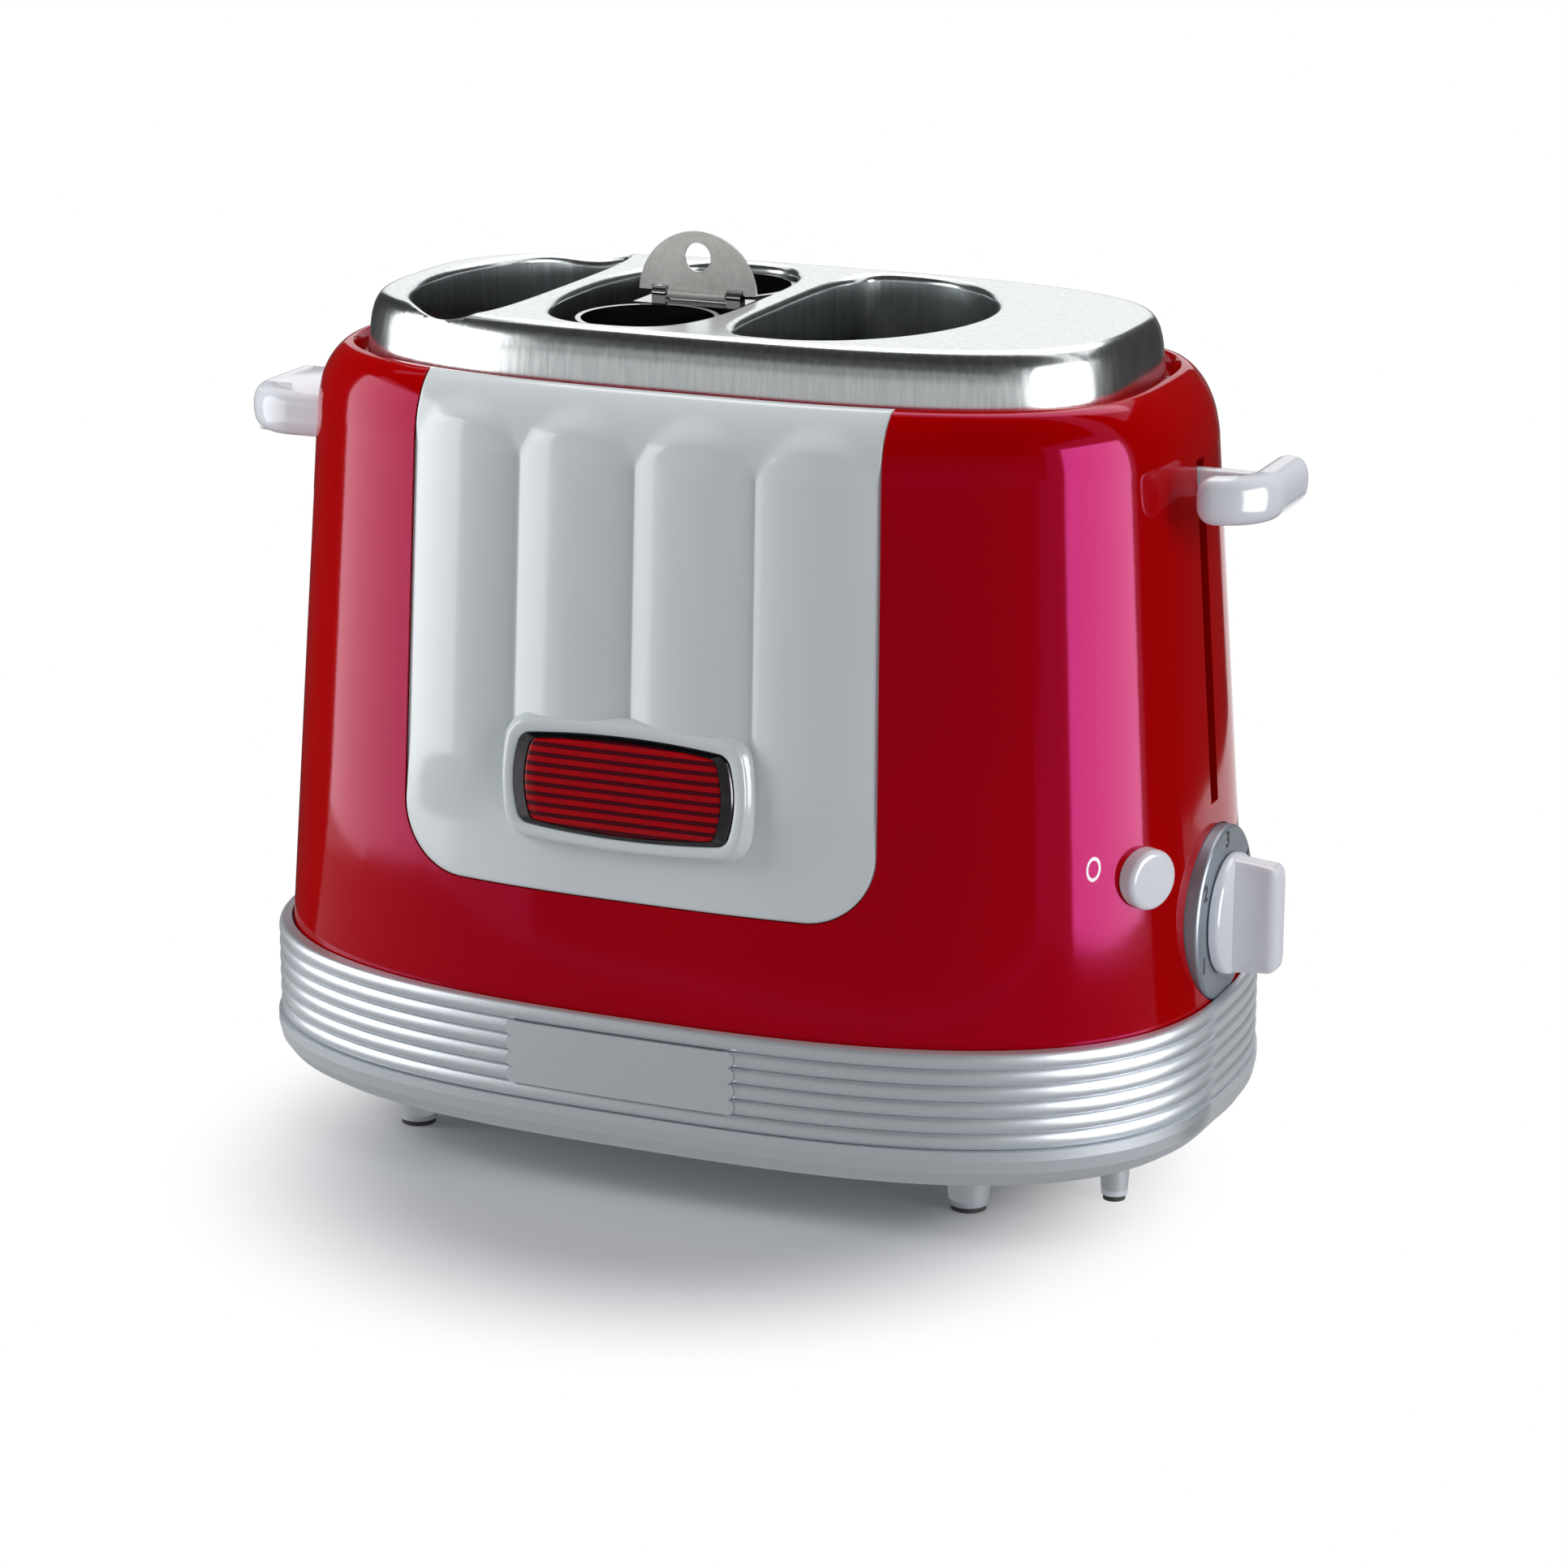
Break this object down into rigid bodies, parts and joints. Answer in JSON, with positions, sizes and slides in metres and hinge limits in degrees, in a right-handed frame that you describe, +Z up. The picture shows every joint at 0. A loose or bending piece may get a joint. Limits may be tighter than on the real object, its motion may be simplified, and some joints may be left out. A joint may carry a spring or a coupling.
{
  "type": "hot dog toaster",
  "caption": "Upright toaster with two bun slots and a lift-out sausage basket, spring-loaded carriage lever, timer knob and stop button on a beaded oval base.",
  "frame": {"origin": "on the table under the middle of the toaster", "axes": "+Z up, -Y is the front face with the badge, +X is the end with the lever and the dial"},
  "size_m": [0.298, 0.1724, 0.2435],
  "materials": {
    "badge_red": "clear-coated red with darker lines",
    "black_plastic": "black moulded plastic",
    "brass": "turned brass",
    "bright_steel": "polished stainless sheet",
    "brushed_steel": "brushed stainless sheet",
    "circuit": "printed circuit card",
    "dark_chrome": "dark chrome plate",
    "mica": "mica heater card",
    "red_shell": "gloss red moulded plastic",
    "ribbon": "resistance ribbon",
    "rubber": "soft foot pad",
    "screw_steel": "zinc-plated screw",
    "sheet_steel": "plain galvanised sheet",
    "silver_paint": "satin silver lacquered plastic",
    "spring_steel": "spring wire",
    "white_plastic": "gloss white moulded plastic"
  },
  "bodies": {
    "housing": {"body_shell": "red_shell", "front_panel": "white_plastic", "badge_frame": "dark_chrome", "badge_plate": "badge_red", "base_ring": "silver_paint", "name_plate": "silver_paint", "bottom_cover": "silver_paint", "cover_screws": "screw_steel", "feet": "silver_paint", "foot_pads": "rubber", "top_cap": "brushed_steel", "cap_skirt": "brushed_steel", "cap_lip_left": "brushed_steel", "cap_lip_middle": "brushed_steel", "cap_lip_right": "brushed_steel", "base_plate": "sheet_steel", "bun_liner_left": "sheet_steel", "bun_liner_right": "sheet_steel", "end_plate_left": "sheet_steel", "end_plate_right": "sheet_steel", "heater_left_outer": "mica", "heater_left_inner": "mica", "heater_right_inner": "mica", "heater_right_outer": "mica", "heater_ribbons": "ribbon", "guide_rods": "bright_steel", "latch_magnet": "black_plastic", "control_board": "circuit", "timer_switch": "black_plastic", "dial_ring": "silver_paint", "left_grip": "white_plastic", "cord_bushing": "black_plastic", "stop_switch": "black_plastic", "return_springs": "spring_steel"},
    "carriage": {"carriage_frame": "sheet_steel", "bun_support_left": "sheet_steel", "bun_support_right": "sheet_steel", "basket_support": "sheet_steel", "carriage_sleeves": "brass", "latch_armature": "sheet_steel", "lever_bar": "sheet_steel", "lever_knob": "white_plastic"},
    "basket": {"basket_tube_front": "bright_steel", "basket_tube_rear": "bright_steel", "basket_floor": "bright_steel", "basket_bridge": "bright_steel", "tab_pin": "bright_steel"},
    "tab": {"basket_tab": "bright_steel"},
    "knob": {"timer_knob": "white_plastic", "timer_shaft": "sheet_steel"},
    "button": {"stop_button": "white_plastic"},
    "tray": {"crumb_tray": "silver_paint"}
  },
  "joints": [
    {"name": "carriage_slide", "type": "slide", "parent": "housing", "child": "carriage", "axis": [0, 0, -1], "range_m": [0, 0.078], "stiffness_N_per_m": 260, "springref_m": -0.035, "deforming": ["return_springs"]},
    {"name": "basket_lift", "type": "slide", "parent": "carriage", "child": "basket", "axis": [0, 0, 1], "range_m": [0, 0.12]},
    {"name": "tab_hinge", "type": "hinge", "parent": "basket", "child": "tab", "pos_m": [-0.0205, 0.004, 0.2263], "axis": [-1, 0, 0], "range_deg": [0, 88]},
    {"name": "timer_turn", "type": "hinge", "parent": "housing", "child": "knob", "pos_m": [0.1336, 0, 0.073], "axis": [1, 0, 0], "range_deg": [-120, 120]},
    {"name": "stop_press", "type": "slide", "parent": "housing", "child": "button", "axis": [-0.8878, 0.4602, 0], "range_m": [0, 0.003], "stiffness_N_per_m": 500, "springref_m": -0.002},
    {"name": "tray_slide", "type": "slide", "parent": "housing", "child": "tray", "axis": [0, 1, 0], "range_m": [0, 0.12]}
  ]
}
